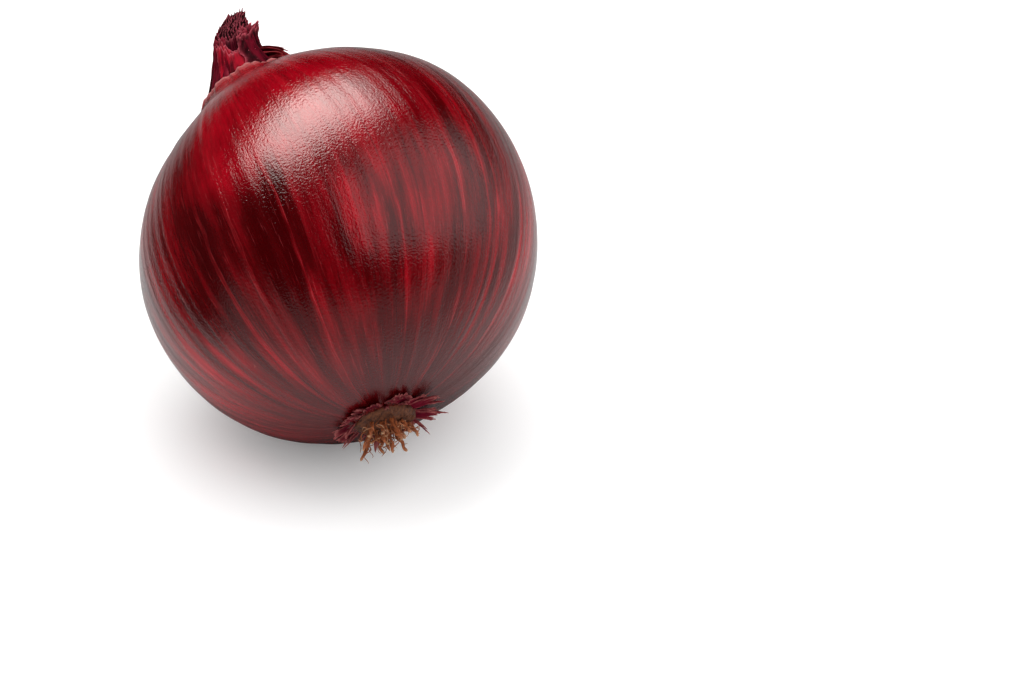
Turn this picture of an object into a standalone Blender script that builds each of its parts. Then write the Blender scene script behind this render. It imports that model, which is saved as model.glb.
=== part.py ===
"""A whole red onion, lying as it settles on a table: neck up and away, root end low and in front.

Metres, +Z up. The origin is the middle of the small flat spot that the bulb rests on.
Every piece is modelled upright about the bulb's own axis, neck at the top and the bulb's middle
at the origin, under an empty that then leans the whole onion over. The bulb grew a little bent, so
the neck end and the root end each hang on an empty of their own, turned a few degrees off that axis.
"""

import math
import random

import bmesh
import bpy
from mathutils import Matrix, Quaternion, Vector

# Driving dimensions of the bulb
BULB_DIAMETER = 0.0810
BULB_HEIGHT = 0.0772
BULB_FULLNESS = 2.12
LEAN = math.radians(55.0)
FLAT_DEPTH = 0.0009

# The bulb's bend: how far each end is turned off its axis, and towards which side round the bulb
NECK_TURN = math.radians(5.5)
NECK_SIDE = math.radians(165.0)
ROOT_TURN = math.radians(11.0)
ROOT_SIDE = math.radians(192.0)

# Driving dimensions of the neck, the dried leaf stumps on top
NECK_HEIGHT = 0.0202
NECK_FOOT_RADIUS = 0.0098
NECK_WAIST_RADIUS = 0.0046
NECK_SWAY = 0.0066
CORE_RADIUS = 0.0020
CUT_SIDE = math.radians(248.0)
CUT_MIDDLE = 0.0150
CUT_FALL = 0.0048

# Driving dimensions of the root end
PLATE_RADIUS = 0.0061
PLATE_THICKNESS = 0.0016
FRINGE_COUNT = 9
ROOT_COUNT = 15
ROOT_RADIUS = 0.00045

# Gaps between neighbours: between any two, and under what sits on the bulb at a turned end
GAP = 0.0003
SEAT_GAP = 0.0004

# Thickness of the dried leaves of the neck, their pitch from layer to layer, and the torn skin's
LEAF_THICKNESS = 0.0005
LEAF_PITCH = 0.0009
SKIN_THICKNESS = 0.0006

# Steps that round shapes are cut into
BULB_STEPS = 64
PROFILE_STEPS = 32
PLATE_STEPS = 32
CORE_STEPS = 16

HALF_WIDTH = BULB_DIAMETER / 2
HALF_HEIGHT = BULB_HEIGHT / 2
MERGE_DISTANCE = 0.00005


def clear_scene():
    for obj in list(bpy.data.objects):
        bpy.data.objects.remove(obj)


def new_collection(name):
    collection = bpy.data.collections.new(name)
    bpy.context.scene.collection.children.link(collection)
    return collection


def finish_of(name, colour, roughness):
    """A material with the part's plain colour."""
    material = bpy.data.materials.new(name)
    material.use_nodes = True
    shader = material.node_tree.nodes["Principled BSDF"]
    shader.inputs["Base Color"].default_value = (*colour, 1.0)
    shader.inputs["Roughness"].default_value = roughness
    shader.inputs["Metallic"].default_value = 0.0
    return material


def add_piece(name, data, material, parent, collection):
    """A named object for a mesh or a curve, under its parent empty."""
    obj = bpy.data.objects.new(name, data)
    obj.data.materials.append(material)
    obj.parent = parent
    collection.objects.link(obj)
    return obj


def move_to(obj, collection):
    """Takes an object that a primitive made out of its own collections, into the given one."""
    for home in list(obj.users_collection):
        home.objects.unlink(obj)
    collection.objects.link(obj)


def add_turned(name, outline, steps, material, parent, collection):
    """A solid turned about the axis from (radius, height) points that run down its outer side."""
    mesh = bpy.data.meshes.new(name)
    points = [(radius, 0.0, height) for radius, height in outline]
    mesh.from_pydata(points, [(i, i + 1) for i in range(len(points) - 1)], [])
    obj = add_piece(name, mesh, material, parent, collection)
    turn = obj.modifiers.new("turn", "SCREW")
    turn.axis = "Z"
    turn.steps = steps
    turn.render_steps = steps
    turn.use_merge_vertices = True
    turn.merge_threshold = MERGE_DISTANCE
    turn.use_smooth_shade = True
    return obj


def add_cutter(name, size, place, cutters):
    """A box that is only there to cut, standing on its own XY plane and moved by a matrix."""
    bpy.ops.mesh.primitive_cube_add(size=size)
    block = bpy.context.object
    block.name = name
    block.data.transform(place @ Matrix.Translation((0, 0, size / 2)))
    block.hide_render = True
    block.display_type = "WIRE"
    move_to(block, cutters)
    return block


def cut_away(obj, cutter):
    cut = obj.modifiers.new(cutter.name, "BOOLEAN")
    cut.operation = "DIFFERENCE"
    cut.solver = "EXACT"
    cut.object = cutter


# The bulb: a turned, slightly flattened and full-shouldered globe


def skin_point(polar):
    """Radius and height of the bulb's skin at an angle down from the neck end."""
    across = abs(math.sin(polar)) / HALF_WIDTH
    along = abs(math.cos(polar)) / HALF_HEIGHT
    reach = (across**BULB_FULLNESS + along**BULB_FULLNESS) ** (-1 / BULB_FULLNESS)
    return reach * max(math.sin(polar), 0.0), reach * math.cos(polar)


def skin_height(radius):
    """Height of the skin's upper half above the bulb's middle, at a distance from the axis."""
    share = (radius / HALF_WIDTH) ** BULB_FULLNESS
    return HALF_HEIGHT * (1 - share) ** (1 / BULB_FULLNESS)


def resting_place():
    """How far the leaning bulb's lowest point is below its middle, and beside it."""
    lowest, beside = 0.0, 0.0
    samples = 2000
    for step in range(samples):
        radius, height = skin_point(math.pi * step / samples)
        drop = radius * math.sin(LEAN) - height * math.cos(LEAN)
        if drop > lowest:
            lowest = drop
            beside = radius * math.cos(LEAN) + height * math.sin(LEAN)
    return lowest, beside


def add_axis(collection):
    """The empty at the bulb's middle that every piece hangs on, leaning away towards +Y."""
    lowest, beside = resting_place()
    axis = bpy.data.objects.new("onion_axis", None)
    axis.location = (0.0, -beside, lowest - FLAT_DEPTH)
    axis.rotation_euler = (-LEAN, 0.0, 0.0)
    collection.objects.link(axis)
    return axis


def add_end(name, axis, turn, side, collection):
    """An empty at the bulb's middle whose +Z is turned down from the neck end towards one side."""
    hinge = Vector((-math.sin(side), math.cos(side), 0.0))
    end = bpy.data.objects.new(name, None)
    end.rotation_mode = "QUATERNION"
    end.rotation_quaternion = Quaternion(hinge, turn)
    end.parent = axis
    collection.objects.link(end)
    return end


def add_bulb(axis, collection, cutters, material):
    outline = [skin_point(math.pi * step / PROFILE_STEPS) for step in range(PROFILE_STEPS + 1)]
    bulb = add_turned("bulb", outline, BULB_STEPS, material, axis, collection)
    below = Matrix.Rotation(math.pi, 4, "X")
    cut_away(bulb, add_cutter("table_cutter", BULB_DIAMETER, below, cutters))


# The neck: a bent sheaf of dried leaf stumps, topped by one slanting cut


def neck_centre(rise):
    """Where the neck's middle line is at a height above the bulb: it sways away from NECK_SIDE."""
    share = max(rise, 0.0) / NECK_HEIGHT
    sway = -NECK_SWAY * share * share
    return Vector((sway * math.cos(NECK_SIDE), sway * math.sin(NECK_SIDE)))


def cut_rise(angle):
    """Height of the slanting cut above the bulb, lowest on the side that CUT_SIDE names."""
    return CUT_MIDDLE - CUT_FALL * math.cos(angle - CUT_SIDE)


def neck_point(share, layer):
    """Radius and height above the bulb of a leaf layer, at a share of the way up the neck.

    The outermost layer, 0, flares as a cube towards its foot, and each layer in lies one pitch
    inside the last, measured square to that flare.
    """
    flare = NECK_FOOT_RADIUS - NECK_WAIST_RADIUS
    radius = NECK_WAIST_RADIUS + flare * (1 - share) ** 3
    slope = -3 * flare * (1 - share) ** 2 / NECK_HEIGHT
    inward = layer * LEAF_PITCH / math.hypot(1.0, slope)
    return radius - inward, share * NECK_HEIGHT + inward * slope


def foot_share(layer):
    """The lowest share of the neck's height at which a layer is clear of the bulb."""
    share, stride = -0.2, 0.002
    while True:
        radius, rise = neck_point(share, layer)
        if rise > skin_height(radius) - HALF_HEIGHT + GAP + LEAF_THICKNESS:
            return share
        share += stride


def add_sheet(name, collection, parent, material, columns, rows, place, thickness):
    """A thin sheet: a flat grid laid along a surface, then given its thickness."""
    bpy.ops.mesh.primitive_grid_add(x_subdivisions=columns, y_subdivisions=rows, size=2)
    sheet = bpy.context.object
    sheet.name = name
    sheet.data.name = name
    for vertex in sheet.data.vertices:
        vertex.co = place(vertex.co.x, (vertex.co.y + 1) / 2)
    sheet.data.materials.append(material)
    sheet.data.shade_smooth()
    sheet.parent = parent
    move_to(sheet, collection)
    wall = sheet.modifiers.new("wall", "SOLIDIFY")
    wall.thickness = thickness
    wall.offset = 0.0
    wall.use_even_offset = True


def add_sheath(name, parent, collection, material, middle, width, layer, short_by):
    """A leaf sheath wrapped round part of the neck, flaring at its foot onto the shoulder.

    middle and width are degrees round the neck, layer counts inwards from the outermost, and
    short_by is how far under the slanting cut the sheath ends.
    """
    middle, half = math.radians(middle), math.radians(width) / 2
    start = foot_share(layer)

    def place(across, up):
        angle = middle + across * half
        end = (cut_rise(angle) - short_by) / NECK_HEIGHT
        radius, rise = neck_point(start + up * (end - start), layer)
        centre = neck_centre(rise)
        x = centre.x + radius * math.cos(angle)
        y = centre.y + radius * math.sin(angle)
        return Vector((x, y, HALF_HEIGHT + rise))

    add_sheet(name, collection, parent, material, 12, 9, place, LEAF_THICKNESS)


def add_neck_core(parent, collection, cutters, material):
    """The shrivelled inner leaves, pressed into one stump, with the slanting cut across its top."""
    mesh = bpy.data.meshes.new("neck_core")
    shape = bmesh.new()
    bmesh.ops.create_cone(
        shape,
        cap_ends=True,
        segments=CORE_STEPS,
        radius1=CORE_RADIUS,
        radius2=CORE_RADIUS,
        depth=NECK_HEIGHT,
    )
    upright = [edge for edge in shape.edges if edge.calc_length() > NECK_HEIGHT / 2]
    bmesh.ops.subdivide_edges(shape, edges=upright, cuts=8, use_grid_fill=True)
    for vertex in shape.verts:
        rise = vertex.co.z + NECK_HEIGHT / 2
        vertex.co.xy += neck_centre(rise)
        vertex.co.z = HALF_HEIGHT + SEAT_GAP + rise
    shape.to_mesh(mesh)
    shape.free()
    mesh.shade_smooth()
    core = add_piece("neck_core", mesh, material, parent, collection)

    slope = math.atan(CUT_FALL / NECK_WAIST_RADIUS)
    level_line = Vector((math.sin(CUT_SIDE), -math.cos(CUT_SIDE), 0.0))
    centre = neck_centre(CUT_MIDDLE)
    place = Matrix.Translation((centre.x, centre.y, HALF_HEIGHT + CUT_MIDDLE))
    place @= Matrix.Rotation(-slope, 4, level_line)
    cutter = add_cutter("topping_cutter", NECK_HEIGHT, place, cutters)
    cutter.parent = parent
    cut_away(core, cutter)


def add_neck(parent, collection, cutters, dark, red):
    add_neck_core(parent, collection, cutters, dark)
    add_sheath("neck_sheath_inner", parent, collection, dark, 75, 300, 2, 0.0)
    add_sheath("neck_sheath_left", parent, collection, dark, 165, 155, 1, 0.0006)
    add_sheath("neck_sheath_right", parent, collection, red, 345, 145, 1, 0.0028)
    add_sheath("neck_sheath_front", parent, collection, red, 252, 122, 0, 0.0006)
    add_sheath("neck_sheath_back", parent, collection, red, 72, 112, 0, 0.0058)


def add_skin_flap(parent, collection, material):
    """A torn strip of outer leaf that stands out from the neck and droops towards the shoulder."""
    middle, half, narrowing = math.radians(342), math.radians(24), 0.45
    root_radius, root_rise = 0.0062, 0.0074
    reach, droop = 0.0052, 0.0044

    def place(across, out):
        angle = middle + across * half * (1 - narrowing * out)
        radius = root_radius + reach * out
        centre = neck_centre(root_rise) * (1 - out)
        x = centre.x + radius * math.cos(angle)
        y = centre.y + radius * math.sin(angle)
        return Vector((x, y, HALF_HEIGHT + root_rise - droop * out**1.6))

    add_sheet("skin_flap", collection, parent, material, 8, 6, place, SKIN_THICKNESS)


# The root end, upside down: its empty's +Z points out of the bulb at the root plate


def add_root_plate(parent, collection, material):
    """The hard disc that the roots grew from, dished to sit on the bulb."""
    rim = PLATE_THICKNESS / 3
    seat_steps = 5
    seat = [PLATE_RADIUS * (1 - step / seat_steps) for step in range(1, seat_steps + 1)]
    face = HALF_HEIGHT + SEAT_GAP + PLATE_THICKNESS
    outline = [
        (0.0, face),
        (PLATE_RADIUS - 3 * rim, face - 0.2 * rim),
        (PLATE_RADIUS - rim, face - rim),
        (PLATE_RADIUS, face - 2 * rim),
        (PLATE_RADIUS, skin_height(PLATE_RADIUS) + SEAT_GAP),
    ]
    outline += [(radius, skin_height(radius) + SEAT_GAP) for radius in seat]
    add_turned("root_plate", outline, PLATE_STEPS, material, parent, collection)


def add_fringe(parent, collection, material):
    """Tatters of dried skin round the root plate, lifting off the bulb at their free ends."""
    spread = math.tau / FRINGE_COUNT
    inner = PLATE_RADIUS + GAP + SKIN_THICKNESS
    shortest, longest = 0.0032, 0.0050
    lowest, highest = 0.0010, 0.0020
    rng = random.Random(3)
    for number in range(FRINGE_COUNT):
        middle = number * spread
        reach = rng.uniform(shortest, longest)
        lift = rng.uniform(lowest, highest)

        def place(across, out, middle=middle, reach=reach, lift=lift):
            angle = middle + across * 0.42 * spread * (1 - 0.4 * out)
            radius = inner + out * reach
            height = skin_height(radius) + SEAT_GAP + SKIN_THICKNESS + lift * out**1.5
            return Vector((radius * math.cos(angle), radius * math.sin(angle), height))

        name = f"root_fringe_{number + 1:02d}"
        add_sheet(name, collection, parent, material, 5, 5, place, SKIN_THICKNESS)


def root_line(start, outward, length, lean, swirl, points):
    """The middle line of a root that leaves the plate nearly straight and leans over as it goes."""
    line = [start]
    stride = length / (points - 1)
    across = Vector((-outward.y, outward.x, 0.0))
    for step in range(1, points):
        share = step / (points - 1)
        side = outward + across * swirl * share
        tip = lean * (0.25 + 0.75 * share)
        direction = side.normalized() * math.sin(tip) + Vector((0.0, 0.0, math.cos(tip)))
        line.append(line[-1] + direction * stride)
    return line


def add_roots(parent, collection, material):
    """Short dried roots on the plate, set on a sunflower spiral, the outer ones leaning further."""
    rng = random.Random(7)
    golden_turn = math.radians(137.508)
    foot = HALF_HEIGHT + SEAT_GAP + PLATE_THICKNESS + GAP + ROOT_RADIUS / 2
    shortest, longest = 0.0032, 0.0066
    points = 8
    taper = 0.4
    for number in range(ROOT_COUNT):
        out = (PLATE_RADIUS - 3 * ROOT_RADIUS) * math.sqrt((number + 0.5) / ROOT_COUNT)
        angle = number * golden_turn
        outward = Vector((math.cos(angle), math.sin(angle), 0.0))
        lean = math.radians(75) * out / PLATE_RADIUS
        length = rng.uniform(shortest, longest)
        swirl = rng.uniform(-0.5, 0.5)
        start = outward * out + Vector((0.0, 0.0, foot))

        curve = bpy.data.curves.new(f"root_{number + 1:02d}", "CURVE")
        curve.dimensions = "3D"
        curve.bevel_depth = ROOT_RADIUS
        curve.bevel_resolution = 2
        curve.use_fill_caps = True
        spline = curve.splines.new("POLY")
        spline.points.add(points - 1)
        for step, place in enumerate(root_line(start, outward, length, lean, swirl, points)):
            spline.points[step].co = (*place, 1.0)
            spline.points[step].radius = 1.0 - taper * step / (points - 1)
        add_piece(curve.name, curve, material, parent, collection)


def main():
    clear_scene()
    onion = new_collection("onion")
    cutters = new_collection("cutters")
    glossy_skin = finish_of("glossy_skin", (0.24, 0.012, 0.02), 0.3)
    dark_leaf = finish_of("dark_dried_leaf", (0.06, 0.01, 0.015), 0.7)
    red_leaf = finish_of("red_dried_leaf", (0.22, 0.02, 0.03), 0.6)
    dry_root = finish_of("dry_root", (0.30, 0.12, 0.05), 0.8)
    axis = add_axis(onion)
    neck_end = add_end("neck_end", axis, NECK_TURN, NECK_SIDE, onion)
    root_end = add_end("root_end", axis, math.pi - ROOT_TURN, ROOT_SIDE, onion)
    add_bulb(axis, onion, cutters, glossy_skin)
    add_neck(neck_end, onion, cutters, dark_leaf, red_leaf)
    add_skin_flap(neck_end, onion, red_leaf)
    add_root_plate(root_end, onion, dry_root)
    add_fringe(root_end, onion, red_leaf)
    add_roots(root_end, onion, dry_root)


main()
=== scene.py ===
"""A whole red onion at rest on a pale table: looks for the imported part, in metres, in its own frame."""

import random

import bmesh
import bpy
import numpy as np
from mathutils import Matrix, Vector


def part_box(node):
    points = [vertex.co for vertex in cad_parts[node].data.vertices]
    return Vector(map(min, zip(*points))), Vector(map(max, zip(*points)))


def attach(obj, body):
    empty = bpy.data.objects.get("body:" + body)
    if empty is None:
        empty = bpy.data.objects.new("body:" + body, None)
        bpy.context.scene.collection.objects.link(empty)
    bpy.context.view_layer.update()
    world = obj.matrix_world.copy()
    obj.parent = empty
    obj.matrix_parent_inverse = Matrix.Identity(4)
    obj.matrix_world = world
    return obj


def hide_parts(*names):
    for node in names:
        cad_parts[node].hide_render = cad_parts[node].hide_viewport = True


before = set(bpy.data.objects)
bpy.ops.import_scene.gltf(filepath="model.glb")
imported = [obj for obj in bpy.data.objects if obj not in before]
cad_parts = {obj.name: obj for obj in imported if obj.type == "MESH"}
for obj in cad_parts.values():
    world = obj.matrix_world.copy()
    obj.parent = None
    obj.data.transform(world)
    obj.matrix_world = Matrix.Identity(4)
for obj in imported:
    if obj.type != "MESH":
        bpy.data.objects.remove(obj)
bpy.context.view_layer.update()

# ---- The bulb ----
# A bent, slightly flattened globe of fleshy leaves in one taut, glossy outer skin. The skin is a dried
# papery leaf with a vein every few millimetres from the root end to the neck, and it has torn open
# round the neck, where its thin pale edge stands off the darker skin beneath.

bulb_low, bulb_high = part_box("bulb")
half_width = (bulb_high.x - bulb_low.x) / 2
half_height = half_width * 0.953
fullness = 2.12
lean = np.radians(55)

# the axis is bent: each end leans over, towards a side of its own
neck_turn, neck_side = np.radians(5.5), np.radians(165)
root_turn, root_side = np.radians(11), np.radians(192)


def reach(directions):
    """Distance from the bulb's middle to its skin along unit directions: where the share of the half
    width across and the share of the half height along, each to the power of fullness, sum to one."""
    across = np.hypot(directions[..., 0], directions[..., 1]) / half_width
    along = np.abs(directions[..., 2]) / half_height
    return (across**fullness + along**fullness) ** (-1 / fullness)


def round_axis(radius, angle, height):
    """Points at a distance from the axis, at an angle round it, and at a height along it."""
    parts = (radius * np.cos(angle), radius * np.sin(angle), height)
    return np.stack(np.broadcast_arrays(*parts), -1)


half_turn = np.linspace(0, np.pi, 2001)
profile = round_axis(np.sin(half_turn), -np.pi / 2, np.cos(half_turn))
profile = profile * reach(profile)[:, None]
top_above_middle = np.max(profile[:, 2] * np.cos(lean) - profile[:, 1] * np.sin(lean))
bulb_middle = np.array([0.0, (bulb_low.y + bulb_high.y) / 2, bulb_high.z - top_above_middle])


def lay_down(points):
    """Takes points of the upright onion to where it rests: leant over about X, then moved."""
    x, y, z = np.moveaxis(points, -1, 0)
    leant = (x, y * np.cos(lean) + z * np.sin(lean), z * np.cos(lean) - y * np.sin(lean))
    return np.stack(leant, -1) + bulb_middle


def turned(points, hinge_side, angle):
    """Rodrigues' turn of points about a level hinge square to hinge_side, by an angle that may
    differ from point to point: the part along the hinge stays, the rest goes round with it."""
    hinge = np.array([-np.sin(hinge_side), np.cos(hinge_side), 0.0])
    cos, sin = np.cos(angle)[..., None], np.sin(angle)[..., None]
    along = (points @ hinge)[..., None] * hinge
    return points * cos + np.cross(hinge, points) * sin + along * (1 - cos)


def ripple(around, along, seed, waves, steepest, slant):
    """Smooth random relief about zero: a sum of sines, each with a whole number of waves round the
    piece, up to steepest, a slant along it, up to slant, and a start of its own."""
    rng = np.random.default_rng(seed)
    total = 0.0
    for _ in range(waves):
        turns = rng.integers(1, steepest + 1) * rng.choice([-1, 1])
        slope = rng.uniform(-slant, slant)
        total = total + np.sin(turns * around + slope * along + rng.uniform(0, 2 * np.pi))
    return total / np.sqrt(waves)


def put_map(mesh, name, spots):
    """A UV map, of one (u, v) for each corner of each face."""
    layer = mesh.uv_layers.new(name=name)
    layer.uv.foreach_set("vector", spots.astype(np.float32).ravel())


def put_mark(mesh, name, values):
    """A number, or a row of three, for each vertex, which the materials read by its name."""
    vector = values.ndim == 2
    mark = mesh.attributes.new(name, "FLOAT_VECTOR" if vector else "FLOAT", "POINT")
    mark.data.foreach_set("vector" if vector else "value", values.astype(np.float32).ravel())


scene = bpy.context.scene


def new_piece(name, mesh):
    """A smooth-shaded mesh as a piece of the scene."""
    mesh.shade_smooth()
    piece = bpy.data.objects.new(name, mesh)
    scene.collection.objects.link(piece)
    return piece


def add_surface(name, points, wrap=False, poles=False, maps=None, marks=None):
    """A mesh on a grid of points (rows, columns, xyz): one quad between every four neighbours.

    wrap joins the last column to the first, and then points has that first column again at its end.
    poles closes the first and last rows, each to one vertex. maps are UV maps, as (u, v) grids of the
    same size as points, and marks are numbers for each point, read by the materials.
    """
    rows, columns = points.shape[:2]
    kept = columns - 1 if wrap else columns
    index = np.arange(rows * kept).reshape(rows, kept)
    if poles:
        index = np.maximum(index - (kept - 1), 0)
        index[-1] = index[-2, -1] + 1
    place = np.zeros((index.max() + 1, 3))
    place[index] = points[:, :kept]
    if poles:
        place[0], place[-1] = points[0, :kept].mean(0), points[-1, :kept].mean(0)

    row, column = np.meshgrid(np.arange(rows - 1), np.arange(columns - 1), indexing="ij")
    corner_row = np.stack([row, row + 1, row + 1, row], -1).reshape(-1, 4)
    corner_column = np.stack([column, column, column + 1, column + 1], -1).reshape(-1, 4)
    faces = index[corner_row, corner_column % kept]
    keep = np.ones(faces.shape, bool)
    if poles:
        keep[corner_row[:, 0] == 0, 3] = False
        keep[corner_row[:, 1] == rows - 1, 2] = False
    mesh = bpy.data.meshes.new(name)
    mesh.from_pydata(place, [], [face[use].tolist() for face, use in zip(faces, keep)])
    for map_name, (u, v) in (maps or {}).items():
        put_map(mesh, map_name, np.stack([u, v], -1)[corner_row[keep], corner_column[keep]])
    for mark_name, values in (marks or {}).items():
        flat = np.zeros((len(place), *values.shape[2:]))
        flat[index] = values[:, :kept]
        put_mark(mesh, mark_name, flat)
    return new_piece(name, mesh)


around_steps = 440
under_rows, tuck_rows, skin_rows = 16, 5, 196
around = np.linspace(0, 2 * np.pi, around_steps + 1)[None, :]

# the torn opening round the neck, in degrees down from it, and how far its edge lifts
tear = 13.1 + 0.8 * np.cos(around - np.radians(285)) + 0.6 * ripple(around, 0, 11, 4, 5, 0)
tear = np.radians(tear + 0.45 * ripple(around, 0, 12, 9, 46, 0))
tear_lift = 0.00155 + 0.00055 * np.cos(around - np.radians(228)) + 0.0003 * ripple(around, 0, 13, 6, 9, 0)
tear_lift = tear_lift + 0.00013 * ripple(around, 0, 14, 6, 40, 0)
tuck = np.radians(3)
skin_thickness = 0.00018

# rows of the grid from the neck on: the skin beneath, back under the torn edge, then over it and down
up = np.linspace(0, 1, under_rows)[:, None]
under_polar = up * (tear + tuck)
under_rise = np.full_like(under_polar, -0.00012)
up = np.linspace(0.15, 1, tuck_rows)[:, None]
tuck_polar = tear + tuck * (1 - up)
tuck_rise = up**1.5 * tear_lift - skin_thickness * np.minimum(1, 3 * up) * 0.9
up = np.linspace(0, 1, skin_rows)[:, None]
skin_polar = tear + (np.pi - tear) * up
skin_rise = tear_lift * np.exp(-((skin_polar - tear) / np.radians(3.2)) ** 1.3)

polar = np.concatenate([under_polar, tuck_polar, skin_polar])
rise = np.concatenate([under_rise, tuck_rise, skin_rise])
is_under = np.concatenate([np.ones_like(under_polar), np.ones_like(tuck_polar), np.zeros_like(skin_polar)])
tuck_edge = np.linspace(0, 1, tuck_rows)[:, None] ** 3 + 0 * tuck_polar
skin_edge = np.exp(-(((skin_polar - tear) / np.radians(2.6)) ** 2))
is_edge = np.concatenate([np.zeros_like(under_polar), tuck_edge, skin_edge])

# the veins: where each one runs round the bulb, and how the whole set wanders on its way down
vein_count = 34
vein_gap = 2 * np.pi * half_width / vein_count
rng = np.random.default_rng(5)
vein_places = (np.arange(vein_count) + rng.uniform(-0.36, 0.36, vein_count)) * 2 * np.pi / vein_count
wander = 0.03 * ripple(around, polar, 21, 5, 4, 2.5) + 0.01 * ripple(around, polar, 22, 6, 12, 5)
laps = np.concatenate([vein_places - 2 * np.pi, vein_places, vein_places + 2 * np.pi])
vein_phase = np.interp(around + wander, laps, np.arange(-vein_count, 2 * vein_count))

# the skin's relief: a low ridge or groove along each vein, facets and bulges between veins, fine ribs
# and broad lobes, all of it fading out where the bulb narrows to its ends
off_vein = np.abs(vein_phase - np.round(vein_phase)) * 2 * np.pi / vein_count
nearest = np.mod(np.round(vein_phase).astype(int), vein_count)
girth = half_width * np.sin(polar)
thin_out = np.clip(girth / 0.022, 0, 1)
vein_height = rng.uniform(-0.00004, 0.00012, vein_count)[nearest]
vein_relief = vein_height * np.exp(-((off_vein * girth / 0.0006) ** 2)) * thin_out
crease_height = rng.uniform(-0.00009, 0.00009, vein_count + 1)
crease_height[-1] = crease_height[0]
facets = np.interp(np.mod(vein_phase, vein_count), np.arange(vein_count + 1), crease_height) * thin_out
bulges = rng.uniform(0.00002, 0.00008, vein_count)[np.mod(np.floor(vein_phase).astype(int), vein_count)]
bulges = bulges * np.sin(np.pi * np.mod(vein_phase, 1)) * thin_out
fine_ribs = 0.000022 * ripple(around + wander, polar, 25, 12, 130, 2) * thin_out
lobes = 0.00032 * ripple(around, polar, 23, 7, 6, 2) * np.sin(polar)

# the whole bulb: fuller along one way and flatter along another than the plain globe
direction = round_axis(np.sin(polar), around, np.cos(polar))
direction = turned(direction, neck_side, neck_turn * (1 + np.cos(polar)) / 2)
direction = turned(direction, root_side, -root_turn * (1 - np.cos(polar)) / 2)
wide_way, narrow_way = np.array([0.236, -0.422, 0.875]), np.array([0.896, -0.255, -0.364])
lopsided = 0.0166 * ((direction @ wide_way) ** 2 - (direction @ narrow_way) ** 2)
# round the circle through across_way and up_way it is fuller at some turns and flatter at others: a bell
# curve for each, gone away from that circle and beside the collar
swell_width = np.radians(15)
swell_turns = np.radians([26, 44, 62, 82, 140, 160, 204])
swell_heights = np.array([0.82, 0.3, 0.87, -0.44, -1.05, -0.43, 0.79]) / 1000
across_way, up_way = np.array([0.861, -0.291, -0.416]), np.array([0.284, -0.403, 0.87])
beside, above = direction @ across_way, direction @ up_way
near = np.cos(np.arctan2(above, beside)[..., None] - swell_turns) - 1
swell = np.exp(near / swell_width**2) @ swell_heights * np.hypot(beside, above) ** 6
past_collar = np.clip((polar - np.radians(13)) / np.radians(13), 0, 1)
swell = swell * past_collar**2 * (3 - 2 * past_collar)
relief = vein_relief + facets + bulges + fine_ribs + lobes
distance = reach(direction) * (1 + lopsided) + rise + relief + swell
skin_points = lay_down(direction * distance[..., None])
skin_points[..., 2] = np.maximum(skin_points[..., 2], 0.0)

share = np.broadcast_to(np.linspace(0, 1, len(polar))[:, None], polar.shape)
bulb = add_surface(
    "bulb_skin",
    skin_points,
    wrap=True,
    poles=True,
    maps={
        "OFBake": (around / (2 * np.pi) + 0 * polar, 1 - share),
        "veins": (vein_phase, 1 - polar / np.pi),
    },
    marks={
        "edge": is_edge,
        "under": is_under,
        "streak": round_axis(1, around + wander, polar),
    },
)
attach(bulb, "root")
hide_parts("bulb")


def node(tree, kind, sockets=None, **settings):
    """Adds a shader node, with its settings, and fills its sockets with numbers or with other nodes'
    outputs. The helpers below find the tree from an output that they are given."""
    made = tree.nodes.new("ShaderNode" + kind)
    for key, value in settings.items():
        setattr(made, key, value)
    for key, value in (sockets or {}).items():
        if isinstance(value, bpy.types.NodeSocket):
            tree.links.new(value, made.inputs[key])
        else:
            made.inputs[key].default_value = value
    return made


def maths(operation, *values):
    """What a Math node makes of values, each a number or another node's output."""
    tree = next(value.id_data for value in values if isinstance(value, bpy.types.NodeSocket))
    return node(tree, "Math", dict(enumerate(values)), operation=operation).outputs[0]


def times(first, *others):
    """The product of values."""
    for other in others:
        first = maths("MULTIPLY", first, other)
    return first


def plus(base, value, share=1.0):
    """base plus a share of a value."""
    return maths("MULTIPLY_ADD", value, share, base)


def sway(base, noise, share):
    """base plus a share of how far a noise is above its middle, 0.5."""
    return plus(base, maths("SUBTRACT", noise, 0.5), share)


def apart(first, second):
    """The distance between two values, never below zero."""
    return maths("ABSOLUTE", maths("SUBTRACT", first, second))


def fade(value, low, high, start=0.0, end=1.0):
    """start on the far side of low, end on the far side of high, and a smooth step between them."""
    sockets = {"Value": value, "From Min": low, "From Max": high, "To Min": start, "To Max": end}
    return node(value.id_data, "MapRange", sockets, interpolation_type="SMOOTHSTEP").outputs[0]


def tint(amount, first, second):
    """first, with second laid over it by amount, from 0 to 1."""
    first = (*first, 1.0) if isinstance(first, tuple) else first
    second = (*second, 1.0) if isinstance(second, tuple) else second
    return node(amount.id_data, "Mix", {0: amount, 6: first, 7: second}, data_type="RGBA").outputs[2]


def vector_maths(operation, first, second, output=0):
    """What a Vector Math node makes of two vectors."""
    return node(first.id_data, "VectorMath", {0: first, 1: second}, operation=operation).outputs[output]


def cloud(place, scale, detail=2.0, roughness=0.5):
    """Fractal noise, from 0 to 1, at a place times a scale. A scale of three numbers draws it out."""
    if isinstance(scale, tuple):
        place, scale = vector_maths("MULTIPLY", place, scale), 1.0
    sockets = {"Vector": place, "Scale": scale, "Detail": detail, "Roughness": roughness}
    return node(place.id_data, "TexNoise", sockets).outputs["Fac"]


def read_mark(tree, name, output="Fac"):
    """The mark of that name on the mesh."""
    return node(tree, "Attribute", attribute_name=name).outputs[output]


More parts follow.
